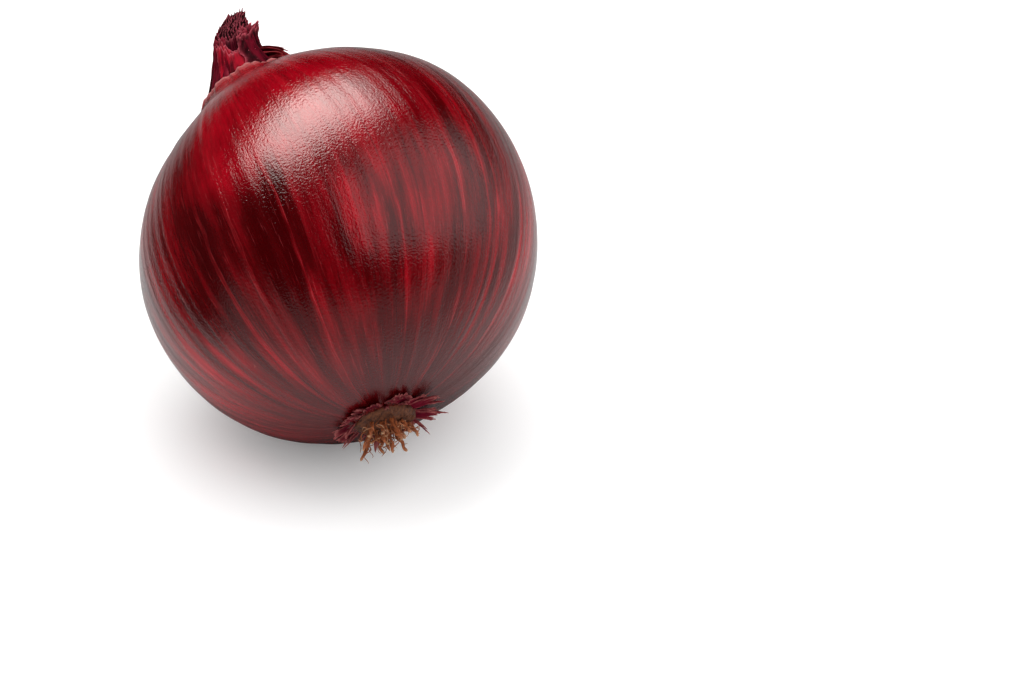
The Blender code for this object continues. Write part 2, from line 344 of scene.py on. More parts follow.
def add_bump(shader, strength, height):
    """A relief of a height in millimetres, times a strength, that only the shading shows."""
    tree = shader.id_data
    bump = node(tree, "Bump", {"Strength": strength, "Distance": 0.001, "Height": height})
    tree.links.new(bump.outputs[0], shader.inputs["Normal"])


def new_finish(name):
    """A new material, its node tree and its Principled shader."""
    material = bpy.data.materials.new(name)
    material.use_nodes = True
    tree = material.node_tree
    return material, tree, tree.nodes["Principled BSDF"]


material, tree, shader = new_finish("glossy red onion skin")
streak = read_mark(tree, "streak", "Vector")
edge = read_mark(tree, "edge")
under = read_mark(tree, "under")
vein_map = node(tree, "UVMap", uv_map="veins").outputs[0]
veins_across, to_neck, _ = node(tree, "SeparateXYZ", {0: vein_map}).outputs
place = node(tree, "TexCoord").outputs["Object"]

# how far each place is from its nearest vein, in shares of the gap between veins and in millimetres
vein_drift = cloud(streak, (16, 16, 4))
phase = sway(veins_across, vein_drift, 0.22)
vein_number = maths("FLOOR", maths("ADD", phase, 0.5))
off_vein = apart(phase, vein_number)
level = maths("SINE", maths("MULTIPLY", to_neck, np.pi))
off_vein_mm = times(off_vein, level, vein_gap * 1000)


def lot(number, start):
    """A random number from 0 to 1 for each vein, and others for other starts."""
    sockets = {"W": maths("ADD", number, start)}
    return node(number.id_data, "TexWhiteNoise", sockets, noise_dimensions="1D").outputs["Value"]


def nearness(streak, degrees):
    """The cosine of the angle round the axis between a place and the side of the bulb at degrees."""
    side = (np.cos(np.radians(degrees)), np.sin(np.radians(degrees)), 0)
    return vector_maths("DOT_PRODUCT", streak, side, "Value")


# stripes down the bulb, from broad bands to single fibres
broad = cloud(streak, (3, 3, 1.2))
middling = cloud(streak, (11, 11, 1.7), 1.2, 0.4)
narrow = cloud(streak, (26, 26, 2.6), 1.2, 0.4)
fine = cloud(streak, (62, 62, 7), 3, 0.6)
fibre = cloud(streak, (115, 115, 6), 3, 0.65)
mottle = cloud(streak, (150, 150, 40), 3, 0.65)
patchy = cloud(streak, (7, 7, 3.2), 3, 0.6)

# red beside some veins, of a width and a strength of its own for each
halo_width = fade(lot(vein_number, 3.7), 0, 1, 0.1, 0.5)
halo = fade(maths("DIVIDE", off_vein, halo_width), 0, 1, 1, 0)
halo_strength = fade(lot(vein_number, 11.9), 0, 1, 0.1, 1)
halo = times(halo, halo_strength, fade(patchy, 0.3, 0.66, 0.15, 1))

# the redder shoulder, at glow_side and across from it, the redder low end, most so at one side, and
# a painted sheen of lighter red on the flanks between
glow_side, pale_side = 247, 272
facing = nearness(streak, glow_side)
facing = times(facing, facing)
shoulder = sway(to_neck, broad, 0.11)
shoulder = plus(shoulder, maths("SUBTRACT", facing, 1), 0.08)
top_glow = times(fade(shoulder, 0.455, 0.58), fade(facing, 0.5, 0.92, 0.34, 1))
low_side = node(tree, "SeparateXYZ", {0: streak}).outputs["X"]
low_glow = times(fade(to_neck, 0.46, 0.22), fade(low_side, -0.75, -0.15, 0.18, 0.04))
flank_painted_sheen = times(fade(facing, 0.35, 0), fade(to_neck, 0.18, 0.38))

# tone runs from 0, nearly black, to 1, bright red: the stripes, then the glows and the painted sheen,
# the root end darkened as painted shade, a paler patch halfway down at pale_side, and the shoulder's
# pull towards an even crimson with stains
swing = 0.0
stripes = ((broad, 0.95), (middling, 1.15), (narrow, 0.42), (fine, 0.22), (mottle, 0.3), (fibre, 0.32))
for stripe, share in stripes:
    swing = sway(swing, stripe, share)
swing = plus(swing, halo, 0.34)
contrast = fade(to_neck, 0.06, 0.36, 0.28, 1)
contrast = times(contrast, fade(top_glow, 0, 0.6, 1, 0.55))
tone = plus(0.25, swing, contrast)
tone = plus(tone, low_glow)
# the painted sheen on the flanks lifts the tone there
tone = plus(tone, flank_painted_sheen, 0.2)
# painted shade: darker towards the root end, which lies nearest the table
tone = plus(tone, fade(to_neck, 0.08, 0.28, -0.18, 0))
pale = fade(nearness(streak, pale_side), 0.9, 0.985, 0, 0.2)
tone = plus(tone, pale, fade(apart(to_neck, 0.44), 0.09, 0.02))
to_crimson = maths("SUBTRACT", 0.76, tone)
tone = plus(tone, times(top_glow, 0.8), to_crimson)
stains = sway(maths("SUBTRACT", patchy, 0.5), fine, 0.7)
tone = plus(tone, times(stains, 0.55), top_glow)
ramp = node(tree, "ValToRGB", {0: tone})
ramp.color_ramp.elements[0].position = 0.0
ramp.color_ramp.elements[0].color = (0.038, 0.0002, 0.0008, 1)
ramp.color_ramp.elements[1].position = 1.0
ramp.color_ramp.elements[1].color = (0.46, 0.004, 0.013, 1)
dark_red, plain_red, bright_red = (0.062, 0.0003, 0.0012), (0.15, 0.0004, 0.003), (0.3, 0.001, 0.007)
for spot, shade in ((0.25, dark_red), (0.5, plain_red), (0.75, bright_red)):
    ramp.color_ramp.elements.new(spot).color = (*shade, 1)
colour = ramp.outputs[0]

# each vein: a dark band beside it, a red glow round it, its own pale line and a fainter twin of it
vein_shadow, vein_glow = (0.036, 0.0002, 0.0008), (0.3, 0.003, 0.008)
vein_line, twin_line = (0.42, 0.03, 0.04), (0.46, 0.045, 0.05)
broken = fade(cloud(streak, (14, 14, 3.5)), 0.36, 0.6, 0.15, 1)
vein_strength = times(
    fade(lot(vein_number, 57.3), 0.1, 0.9, 0.1, 1),
    broken,
    fade(to_neck, 0.06, 0.34, 0.25, 1),
    fade(fibre, 0.36, 0.6, 0.5, 1),
)
line = times(fade(off_vein_mm, 0.03, 0.14, 1, 0), vein_strength)
twin = fade(apart(off_vein_mm, 0.3), 0.02, 0.13, 1, 0)
twin = times(twin, vein_strength, fade(lot(vein_number, 23.1), 0.4, 0.6))
in_gloss = fade(shoulder, 0.48, 0.6, 1, 0.25)
beside = times(fade(apart(off_vein_mm, 0.62), 0, 0.26, 0.6, 0), in_gloss)
colour = tint(times(beside, lot(vein_number, 91.1)), colour, vein_shadow)
near_vein = times(fade(off_vein_mm, 0.1, 0.55, 0.4, 0), vein_strength)
colour = tint(near_vein, colour, vein_glow)
colour = tint(times(line, 0.42, in_gloss), colour, vein_line)
colour = tint(times(twin, 0.5, in_gloss), colour, twin_line)

# hairlines, pale fibres and scuffs, then the skin under the collar and the collar's torn edge
hair_red, fibre_pink, scuff_pink = (0.36, 0.008, 0.016), (0.46, 0.06, 0.066), (0.5, 0.16, 0.14)
under_dark, under_red = (0.05, 0.002, 0.006), (0.22, 0.012, 0.022)
torn_pink, torn_lip = (0.42, 0.072, 0.076), (0.6, 0.19, 0.18)
colour = tint(times(fade(fine, 0.62, 0.8), 0.14), colour, hair_red)
colour = tint(fade(fibre, 0.6, 0.74, 0, 0.2), colour, fibre_pink)
scuff = fade(cloud(streak, (9, 9, 5), 5, 0.65), 0.7, 0.78)
colour = tint(times(scuff, 0.5), colour, scuff_pink)
colour = tint(under, colour, tint(middling, under_dark, under_red))
colour = tint(times(edge, fade(fine, 0.36, 0.62, 0.35, 0.95)), colour, torn_pink)
colour = tint(fade(edge, 0.82, 1, 0, 0.7), colour, torn_lip)
tree.links.new(colour, shader.inputs["Base Color"])

# the relief that breaks up the gloss, and how rough the skin is: dull under the collar and at its edge
height = times(cloud(place, 2200, 1.5, 0.6), 0.088)
for relief, share in ((cloud(place, 900), 0.012), (fine, 0.05), (fibre, 0.034), (line, 0.022)):
    height = plus(height, relief, share)
add_bump(shader, 1.0, height)
rough = fade(middling, 0.3, 0.7, 0.075, 0.125)
rough = maths("MAXIMUM", rough, times(maths("MAXIMUM", edge, under), 0.5))
tree.links.new(rough, shader.inputs["Roughness"])
shader.inputs["IOR"].default_value = 1.55
bulb.data.materials.append(material)

# ---- The dried neck ----
# Stumps of the onion's leaf sheaths, shrivelled to paper round each other and topped by one slanting
# cut. Each grew out of the bulb round the next one, and is several thin, crumpled plies.

neck_height, waist_radius = 0.0202, 0.0046
neck_sway, neck_tilt, leaf_pitch = 0.0064, 0.0015, 0.0009
cut_side, cut_middle, cut_fall = np.radians(248), 0.015, 0.0048
ply_thickness, leaf_shift = 0.00016, 0.013


def add_loops(name, loops, finish):
    """One mesh of closed skins, with a finish. Each is a grid of points whose rows run up it and whose
    columns run anticlockwise round it, with its marks. Points at one place, as along its end rows,
    become one."""
    places, faces, spots, marks = [], [], [], {}
    tiles = int(np.ceil(np.sqrt(len(loops))))
    for number, (points, loop_marks) in enumerate(loops):
        rows, columns = points.shape[:2]
        index = np.arange(rows * columns).reshape(rows, columns) + sum(len(place) for place in places)
        row, column = np.meshgrid(np.arange(rows - 1), np.arange(columns), indexing="ij")
        corner_row = np.stack([row + 1, row, row, row + 1], -1)
        corner_column = np.stack([column, column, column + 1, column + 1], -1)
        faces.append(index[corner_row, corner_column % columns].reshape(-1, 4))
        u = (corner_column / columns * 0.98 + 0.01 + number % tiles) / tiles
        v = (corner_row / (rows - 1) * 0.98 + 0.01 + number // tiles) / tiles
        spots.append(np.stack([u, v], -1).reshape(-1, 2))
        places.append(points.reshape(-1, 3))
        for mark_name, values in loop_marks.items():
            marks.setdefault(mark_name, []).append(values.reshape(-1, *values.shape[2:]))

    mesh = bpy.data.meshes.new(name)
    mesh.from_pydata(np.concatenate(places), [], np.concatenate(faces).tolist())
    put_map(mesh, "OFBake", np.concatenate(spots))
    for mark_name, values in marks.items():
        put_mark(mesh, mark_name, np.concatenate(values))
    shape = bmesh.new()
    shape.from_mesh(mesh)
    bmesh.ops.remove_doubles(shape, verts=shape.verts, dist=0.000001)
    shape.to_mesh(mesh)
    shape.free()
    mesh.materials.append(finish)
    return new_piece(name, mesh)


def grid(rows, columns, first=-1):
    """A column of shares from 0 to 1, and a row of them from first to 1."""
    return np.linspace(0, 1, rows)[:, None], np.linspace(first, 1, columns)[None, :]


def ring(columns):
    """A row of angles once round, short of the first one again."""
    return np.linspace(0, 2 * np.pi, columns, endpoint=False)[None, :]


def unit(vectors):
    """Vectors made one long."""
    return vectors / np.maximum(np.linalg.norm(vectors, axis=-1, keepdims=True), 1e-12)


def sheet_loop(middle, thickness, weft, edge, crease=0.0):
    """The closed loop round a thin sheet: half its thickness to either side of a middle surface, out
    along its front and home along its back. It thins to nothing at its first and last rows, and
    nearly so at its sides. weft says where on the leaf a point is, edge how near a torn edge, and
    crease how deep in a fold, down to -1 on a ridge."""
    up, along = grid(*middle.shape[:2], first=0)
    thin = np.minimum(1, 8 * np.minimum(up, 1 - up)) ** 0.5
    thin = thin * (0.15 + 0.85 * np.minimum(1, 10 * np.minimum(along, 1 - along)) ** 0.5)
    out = unit(np.cross(np.gradient(middle, axis=1), np.gradient(middle, axis=0)))
    half = out * (thickness * thin / 2)[..., None]
    front = np.zeros(middle.shape[:2])
    marks = {"weft": weft, "edge": edge, "crease": front + crease}
    marks = {key: np.concatenate([value, value[:, ::-1]], 1) for key, value in marks.items()}
    marks["inside"] = np.concatenate([front, front + 1], 1)
    return np.concatenate([middle + half, (middle - half)[:, ::-1]], 1), marks


def weave(across, along, seed):
    """Where on its leaf each point is, across and along it, and a third number that sets leaves apart."""
    return np.stack(np.broadcast_arrays(across, along, seed * leaf_shift), -1)


def neck_line(rise):
    """The neck's middle line at a height above the bulb: it sways away from neck_side by the sway
    times the square of the share of the neck's height, and by the tilt times that share."""
    share = np.clip(rise / neck_height, 0, None)
    away = -neck_sway * share**2 - neck_tilt * share
    return round_axis(away, neck_side, half_height + rise)


def neck_wall(share, angle, foot, layer, puff):
    """Points of a leaf layer round the neck, at a share of its height. The outermost flares as a cube
    towards its foot. Each layer lies a pitch inside the last, square to that flare, and puff outside
    its own place."""
    flare = foot - waist_radius
    slope = -3 * flare * (1 - share) ** 2 / neck_height
    inward = (layer * leaf_pitch - puff) / np.hypot(1, slope)
    radius = waist_radius + flare * (1 - share) ** 3 - inward
    return neck_line(share * neck_height + inward * slope) + round_axis(radius, angle, 0)


def at_neck(points):
    """From the neck's own frame, upright on the bulb, to where the onion rests."""
    return lay_down(turned(points, neck_side, neck_turn))


def leaf_ply(
    middle, width, layer, short_by, seed,
    tilt=0.0, foot=0.009, pleats=1.0, crumple=0.00016, splay=0.0, torn=0.00055,
):
    """One ply of a sheath: a sheet round part of the neck, pleated lengthwise, creased both ways
    towards its top. It ends raggedly under the slanting cut, lower by tilt at its last side, and
    stands off the neck by splay towards that end."""
    up, across = grid(46, 64 + width // 3)
    foot_share = -0.035
    sides = 1 + 0.05 * ripple(0, up * 2 * np.pi, seed + 6, 5, 1, 4)
    angle = np.radians(middle) + across * np.radians(width) / 2 * sides
    tatter = torn * (0.8 * ripple(angle, 0, seed, 5, 14, 0) + 0.5 * ripple(angle, 0, seed + 1, 6, 44, 0))
    fall = cut_fall * (1 - layer * leaf_pitch / waist_radius)
    top = cut_middle - fall * np.cos(angle - cut_side) - short_by - tilt * (across + 1) / 2 + tatter
    share = foot_share + up * (top / neck_height - foot_share)
    puff = 0.00013 * ripple(angle, share, seed + 2, 6, 24, 4)
    puff = puff + 0.00005 * ripple(angle, share, seed + 3, 8, 80, 6)
    puff = pleats * puff + crumple * up**2.5 * ripple(angle, share, seed + 4, 9, 34, 60)
    crease = np.clip(-puff / 0.00026, -1, 1)
    puff = puff + 0.00036 * up**1.5 * ripple(angle, share, seed + 5, 3, 5, 7)
    puff = puff + splay * (1 - layer / 1.8) * np.clip((share - 0.42) / 0.26, 0, 1.1) ** 1.4
    points = neck_wall(share, angle, foot, layer, puff)
    weft = weave(angle * waist_radius, share * neck_height, seed)
    to_top = (1 - up) * (top + 0.0007)
    to_side = (1 - np.abs(across)) * np.radians(width) / 2 * waist_radius
    edge = np.maximum(np.exp(-to_top / 0.00035), 0.6 * np.exp(-to_side / 0.0002))
    return sheet_loop(at_neck(points), ply_thickness, weft, edge, crease)


def leaf_finish(name, deep, light, inner, rim, roughness):
    """Dried leaf: two tones in stripes along it, a third on its inner face, and a paler torn rim. Its
    ridges are lighter, a painted highlight, and its folds darker, painted shade.
    """
    material, tree, shader = new_finish(name)
    weft = read_mark(tree, "weft", "Vector")
    edge, inside, crease = [read_mark(tree, mark) for mark in ("edge", "inside", "crease")]
    ribs = cloud(weft, (2400, 130, 900))
    blotches = cloud(weft, (620, 190, 900), 3, 0.55)
    specks = cloud(weft, (2600, 1900, 900))
    tone = plus(times(blotches, 0.55), ribs, 0.45)
    colour = tint(fade(tone, 0.38, 0.62), deep, light)
    inner_share = times(inside, fade(blotches, 0.35, 0.6, 0.45, 1))
    colour = tint(inner_share, colour, inner)
    # a painted highlight on the ridges, then painted shade in the folds
    colour = tint(fade(crease, -0.9, -0.1, 0.55, 0), colour, light)
    fold_painted_shade = tuple(0.3 * part for part in deep)
    colour = tint(fade(crease, 0, 0.9, 0, 0.85), colour, fold_painted_shade)
    colour = tint(times(fade(specks, 0.66, 0.76), 0.22), colour, rim)
    # the paler torn rim; on the core's cut edges it also stands in for glints, a painted highlight
    worn_rim_and_painted_glint = times(edge, fade(specks, 0.3, 0.6, 0.35, 1))
    tree.links.new(tint(worn_rim_and_painted_glint, colour, rim), shader.inputs["Base Color"])
    add_bump(shader, 0.8, plus(times(specks, 0.1), ribs, 0.22))
    rough = fade(blotches, 0.3, 0.7, roughness - 0.08, roughness + 0.1)
    tree.links.new(rough, shader.inputs["Roughness"])
    shader.inputs["Specular IOR Level"].default_value = 0.015
    return material


# each leaf's deep tone, light tone, inner face and torn rim, and how rough it is
dark_leaf = leaf_finish(
    "dark dried leaf",
    (0.01, 0.0003, 0.0014), (0.075, 0.001, 0.008), (0.03, 0.0008, 0.004), (0.4, 0.075, 0.1), 0.6,
)
maroon_leaf = leaf_finish(
    "maroon dried leaf",
    (0.03, 0.0005, 0.003), (0.125, 0.002, 0.011), (0.06, 0.0015, 0.007), (0.32, 0.035, 0.055), 0.58,
)
red_leaf = leaf_finish(
    "red dried leaf",
    (0.06, 0.0006, 0.004), (0.3, 0.003, 0.014), (0.2, 0.006, 0.022), (0.52, 0.1, 0.13), 0.52,
)
crimson_leaf = leaf_finish(
    "crimson dried leaf",
    (0.018, 0.0003, 0.002), (0.105, 0.0012, 0.009), (0.42, 0.014, 0.042), (0.52, 0.09, 0.12), 0.56,
)

sheaths = {
    # middle and width in degrees round the neck, finish and slot; each ply's layer and what it ends
    # short by; and how the plies differ from plain ones
    "neck_sheath_inner": (
        (200, 320, dark_leaf, "dark_leaf"),
        ((1.45, 0.0004), (1.7, 0.001), (1.95, 0.0002), (2.2, 0.0012)),
        {"crumple": 0.00022, "torn": 0.00028},
    ),
    "neck_sheath_left": (
        (160, 150, maroon_leaf, "dark_leaf"),
        ((0.7, 0.0008), (1.00, 0.0), (1.3, 0.001)),
        {"foot": 0.0107, "crumple": 0.0002, "torn": 0.0004},
    ),
    "neck_sheath_right": (
        (314, 104, crimson_leaf, "red_leaf"),
        (
            (-0.3, 0.0002), (0.1, -0.0008), (0.4, 0.0006), (0.65, -0.0004),
            (0.9, 0.0008), (1.15, -0.0002), (1.4, 0.0008),
        ),
        {"foot": 0.0094, "tilt": 0.004, "crumple": 0.0003, "splay": 0.0014, "torn": 0.0003},
    ),
    "neck_sheath_front": (
        (252, 86, red_leaf, "red_leaf"),
        ((-0.15, 0.0), (0.25, -0.0006)),
        {"tilt": 0.0064, "pleats": 0.35, "crumple": 0.0001, "torn": 0.0007},
    ),
    "neck_sheath_back": (
        (72, 150, maroon_leaf, "red_leaf"),
        ((0.0, 0.0058), (0.4, 0.005)),
        {"foot": 0.0098},
    ),
}
for number, (name, ((middle, width, leaf, slot), plies, ways)) in enumerate(sheaths.items()):
    loops = [
        leaf_ply(middle, width - 6 * ply, layer, short_by, 100 + 60 * number + 10 * ply, **ways)
        for ply, (layer, short_by) in enumerate(plies)
    ]
    sheath = add_loops(name + "_leaf", loops, leaf)
    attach(sheath, "root")
    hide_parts(name)

# ---- The neck's core ----
# The innermost leaves, dried flat against each other and folded to and fro. The slanting cut leaves
# their thin edges open, side by side, with dark gaps between.

core_above_cut = 0.0006


def core_cut(down_fall):
    """Height of the core's cut above the bulb, at a distance from the neck's middle down its fall: it
    falls evenly, by cut_fall in each waist_radius."""
    return cut_middle + core_above_cut - cut_fall * down_fall / waist_radius


def folded_leaf(folds, across_all, depth, seed):
    """A leaf folded to and fro across the neck's middle, as a sine whose waves run along the fall of
    the cut while it moves on sideways. It is waved along its length and cut by the slanting plane."""
    up, run = grid(34, 700, first=0)
    swing = np.pi * folds * run
    beside = across_all * (2 * run - 1) + 0.0001 * ripple(swing, up, seed, 6, 3, 2.5)
    half_length = across_all * 1.12 * np.sqrt(1.04 - (2 * run - 1) ** 2)
    down_fall = half_length * np.sin(swing) + 0.0001 * ripple(swing, up, seed + 1, 6, 12, 2.5)
    wave = ripple(down_fall / across_all * 3, up + 3 * run, seed + 2, 5, 3, 3)
    wave = wave + 0.6 * ripple(down_fall / across_all * 8, up + 9 * run, seed + 5, 5, 3, 4)
    beside = beside + 0.00016 * wave
    ends = np.random.default_rng(seed).uniform(-0.0001, 0.0006, folds + 2)
    ragged = np.interp(run * folds, np.arange(len(ends)), ends)
    ragged = ragged - 0.00005 * ripple(swing, 0, seed + 3, 8, 9, 0)
    rise = core_cut(down_fall) - ragged - depth * (1 - up)
    points = neck_line(rise) + round_axis(down_fall, cut_side, 0)
    points = points + round_axis(beside, cut_side + np.pi / 2, 0)
    weft = weave(run * folds * 0.004, rise, seed)
    # its cut top is pale, partly as a painted glint, and it darkens with depth below the cut as painted shade
    edge = np.exp(-(1 - up) * depth / 0.00022) + 0 * run
    crease = np.clip((1 - up) * depth / 0.0013, 0, 1)
    return sheet_loop(at_neck(points), 0.00015, weft, edge, crease)


def core_fill(across_all, depth, below):
    """The pressed leaf beneath the open edges: a lumpy disc parallel to the slanting cut and below
    it, whose rim goes down as a wall that closes at its foot."""
    up, angle = np.linspace(0, 1, 60)[:, None], ring(90)
    radius = across_all * np.minimum(1, np.minimum(up / 0.15, (1 - up) / 0.5)) ** 0.8 + 0 * angle
    lumps = 0.00014 * ripple(angle, up, 451, 8, 17, 30) + 0.0001 * ripple(angle, up, 452, 8, 40, 60)
    down_fall = radius * np.cos(angle - cut_side)
    drop = depth * (1 - np.minimum(1, up / 0.5))
    rise = core_cut(down_fall) - below - drop + lumps * (up > 0) * (up < 1)
    points = neck_line(rise) + round_axis(radius, angle, 0)
    points[0], points[-1] = points[0].mean(0), points[-1].mean(0)
    nowhere = 0 * radius
    weft = weave(radius * angle, rise, 0)
    # marked as deep in a fold, the pressed leaf is darkened all over: painted shade in the gaps
    return at_neck(points), {"weft": weft, "edge": nowhere, "inside": nowhere, "crease": nowhere + 1}


core_loops = [folded_leaf(17, 0.0029, 0.007, 400), core_fill(0.0031, 0.0066, 0.0005)]
core = add_loops("neck_core_leaves", core_loops, dark_leaf)
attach(core, "root")
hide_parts("neck_core")

# ---- The skin flap ----
# A torn strip of outer leaf, still held at the neck. It stands out over the shoulder, drooping, as
# thin plies one under another, each lower one shorter.

# it starts inside the neck's leaves, at flap_start from the axis, so it is longer by flap_overlap
flap_start, flap_overlap = 0.0049, 0.0013


def flap_strip(middle, half, reach, droop, start_rise, seed):
    """A strip that runs out from the neck: its height falls as the power 1.6 of the share of its
    reach, it narrows outwards, and its end is torn."""
    out, across = grid(40, 44)
    turn = across * np.pi
    torn = 1 + 0.1 * ripple(turn, 0, seed, 5, 6, 0) + 0.05 * ripple(turn, 0, seed + 1, 5, 16, 0)
    out_here = out * torn
    angle = np.radians(middle) + across * np.radians(half) * (1 - 0.45 * out_here)
    radius = flap_start + (flap_overlap + reach) * out_here
    ridges = 0.00024 * ripple(turn, out, seed + 2, 6, 7, 5)
    ridges = ridges + 0.00008 * ripple(turn, out, seed + 3, 7, 22, 9)
    rise = start_rise - droop * out_here**1.6 + ridges + 0.0006 * across**2 * out_here
    held = neck_line(start_rise) * (1 - out_here)[..., None]
    points = round_axis(radius, angle, half_height + rise) + held * np.array([1, 1, 0])
    weft = weave(across * 0.0025, out_here * reach, seed)
    to_end = (1 - out) * reach
    to_side = (1 - np.abs(across)) * 0.003
    edge = np.maximum(np.exp(-to_end / 0.0004), 0.8 * np.exp(-to_side / 0.00022))
    return sheet_loop(at_neck(points), 0.00018, weft, edge, np.clip(-ridges / 0.0003, -1, 1))


flap_leaf = leaf_finish(
    "dark red torn leaf",
    (0.03, 0.0006, 0.003), (0.17, 0.003, 0.01), (0.13, 0.003, 0.01), (0.42, 0.055, 0.06), 0.55,
)
flap_strips = (
    # middle and half width in degrees, reach, droop and height of its start, and its seed
    (342, 26, 0.0053, 0.004, 0.007, 500),
    (334, 25, 0.005, 0.0038, 0.0062, 520),
    (326, 24, 0.0046, 0.0032, 0.0052, 540),
    (349, 22, 0.0047, 0.0027, 0.0044, 560),
    (331, 21, 0.0043, 0.0018, 0.0036, 580),
    (340, 25, 0.004, 0.0011, 0.0027, 590),
)
flap = add_loops("skin_flap_leaf", [flap_strip(*strip) for strip in flap_strips], flap_leaf)
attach(flap, "root")
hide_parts("skin_flap")

# ---- The root plate ----
# The hard, shrunken disc of stem that the roots grew from, corky and rough, sitting in the dimple of
# the bulb's lower end.

plate_radius, plate_thickness, seat_gap = 0.0061, 0.0016, 0.0004


def at_root(points):
    """From the root end's own frame, whose height runs out of the bulb, to where the onion rests."""
    return lay_down(turned(points, root_side, np.pi - root_turn))


def skin_height(radius):
    """Height of the bulb's skin above its middle at a distance from its axis."""
    return half_height * (1 - (radius / half_width) ** fullness) ** (1 / fullness)


up, angle = np.linspace(0, 1, 60)[:, None], ring(120)
bend = np.clip((up - 0.25) / 0.75, 0, 1) * np.pi / 2
radius = np.where(up < 0.25, up / 0.25, np.cos(bend) ** 0.45) * plate_radius
radius = radius * (1 + 0.035 * ripple(angle, up, 601, 6, 9, 6) + 0.02 * ripple(angle, up, 602, 6, 30, 12))
radius[0], radius[-1] = 0, 0
raised = np.where(up < 0.25, -0.0003, plate_thickness * np.sin(bend) ** 0.7)
lumps = 0.00016 * ripple(angle, up, 603, 7, 14, 24) + 0.0001 * ripple(angle, up, 604, 9, 36, 50)
lumps = lumps * np.sin(np.pi * np.clip((up - 0.25) / 0.75, 0, 1))
height = skin_height(radius) * (1 - up) + up * half_height + seat_gap + raised + lumps
points = round_axis(radius, angle, height)

root_specks = (0.045, 0.014, 0.008)


def root_finish(name, deep, light, tip):
    """Dried root: brown to orange in stripes along it, with dark specks, and a pale broken tip."""
    material, tree, shader = new_finish(name)
    weft = read_mark(tree, "weft", "Vector")
    edge = read_mark(tree, "edge")
    stripes = cloud(weft, (4200, 420, 900), 3, 0.6)
    blotches = cloud(weft, (900, 700, 900), 3, 0.6)
    tone = plus(times(blotches, 0.4), stripes, 0.6)
    colour = tint(fade(tone, 0.36, 0.62), deep, light)
    colour = tint(fade(blotches, 0.62, 0.74, 0, 0.7), colour, root_specks)
    tree.links.new(tint(times(edge, 0.85), colour, tip), shader.inputs["Base Color"])
    add_bump(shader, 0.9, plus(times(blotches, 0.12), stripes, 0.2))
    tree.links.new(fade(tone, 0.3, 0.7, 0.5, 0.72), shader.inputs["Roughness"])
    shader.inputs["Specular IOR Level"].default_value = 0.25
    return material


cork = root_finish("corky root plate", (0.04, 0.011, 0.006), (0.14, 0.045, 0.018), (0.4, 0.22, 0.12))
plate = add_loops("root_plate_disc", [(at_root(points), {"weft": points, "edge": 0 * radius})], cork)
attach(plate, "root")
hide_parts("root_plate")

# ---- The torn skin round the root plate ----
# Tatters of the outer skins, left where they broke round the root plate. Each is held at the plate
# and lifts off the bulb at its free, ragged end.

fringe_count = 9
fringe_leaf = leaf_finish(
    "torn outer skin",
    (0.024, 0.0005, 0.003), (0.12, 0.002, 0.011), (0.1, 0.003, 0.012), (0.38, 0.12, 0.11), 0.55,
)
rng = random.Random(3)


def tatter_loop(middle, half, start, reach, lift, seed):
    """A tatter that runs out over the bulb from the plate: its height above the skin grows as the
    power 1.5 of the share of its reach, it narrows outwards, and its end is torn to points."""
    out, across = grid(30, 34)
    turn = across * np.pi
    torn = 1 + 0.16 * ripple(turn, 0, seed, 4, 5, 0) + 0.09 * ripple(turn, 0, seed + 1, 4, 13, 0)
    out_here = out * torn
    bent = 0.05 * ripple(0, out * 2 * np.pi, seed + 4, 3, 1, 1.5)
    angle = middle + across * half * (1 - 0.4 * out_here) + bent
    radius = start + out_here * reach
    ridges = 0.0001 * ripple(turn, out, seed + 2, 5, 6, 5)
    ridges = ridges + 0.00005 * ripple(turn, out, seed + 3, 6, 16, 9)
    curl = 0.0006 * np.abs(across) ** 3 * out_here**2
    height = skin_height(radius) + seat_gap + lift * out_here**1.5 + curl + ridges * (0.3 + out)
    points = round_axis(radius, angle, height)
    weft = weave(across * half * start, out_here * reach, seed)
    to_side = (1 - np.abs(across)) * half * start
    edge = np.maximum(np.exp(-(1 - out) * reach / 0.0005), 0.7 * np.exp(-to_side / 0.00018))
    return sheet_loop(at_root(points), 0.00016, weft, edge)


for number in range(fringe_count):
    spread = 2 * np.pi / fringe_count
    reach = rng.uniform(0.0026, 0.0054)
    lift = rng.uniform(0.0008, 0.0021)
    start = plate_radius + seat_gap
    seed = 700 + 20 * number
    shifts = np.random.default_rng(seed).uniform(-0.5, 0.5, 6)
    tatters = (
        # its middle and half width in shares of the spread, how far in it starts, its reach and its lift
        (0.3 * shifts[0], 0.4, 0.0012, reach + 0.0012, lift),
        (0.45 + 0.3 * shifts[1], 0.26, 0.001, reach * (0.85 + 0.5 * shifts[2]), 0.6 * lift),
        (-0.25 + 0.4 * shifts[3], 0.13, 0.0014, reach * (0.9 + 0.8 * shifts[4]), (1.5 + shifts[5]) * lift),
    )
    loops = [
        tatter_loop((number + middle) * spread, half * spread, start - inward, length, height, seed + further)
        for further, (middle, half, inward, length, height) in zip((0, 9, 13), tatters)
    ]
    tatter = add_loops(f"root_fringe_{number + 1:02d}_skin", loops, fringe_leaf)
    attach(tatter, "root")
    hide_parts(f"root_fringe_{number + 1:02d}")

# ---- The roots ----
# Short stubs of the roots, dried to flat wrinkled strands, each with a few hair-fine rootlets beside
# it. They stand close on the plate, and the outer ones lie over against the bulb.

root_count, root_radius, root_curl = 15, 0.00045, 0.0004
hair_radius, hair_curl = 0.00013, 0.0009
golden_turn = np.radians(137.508)
root_strand = root_finish("dry root strand", (0.085, 0.018, 0.006), (0.36, 0.092, 0.026), (0.6, 0.38, 0.22))
rng = random.Random(7)


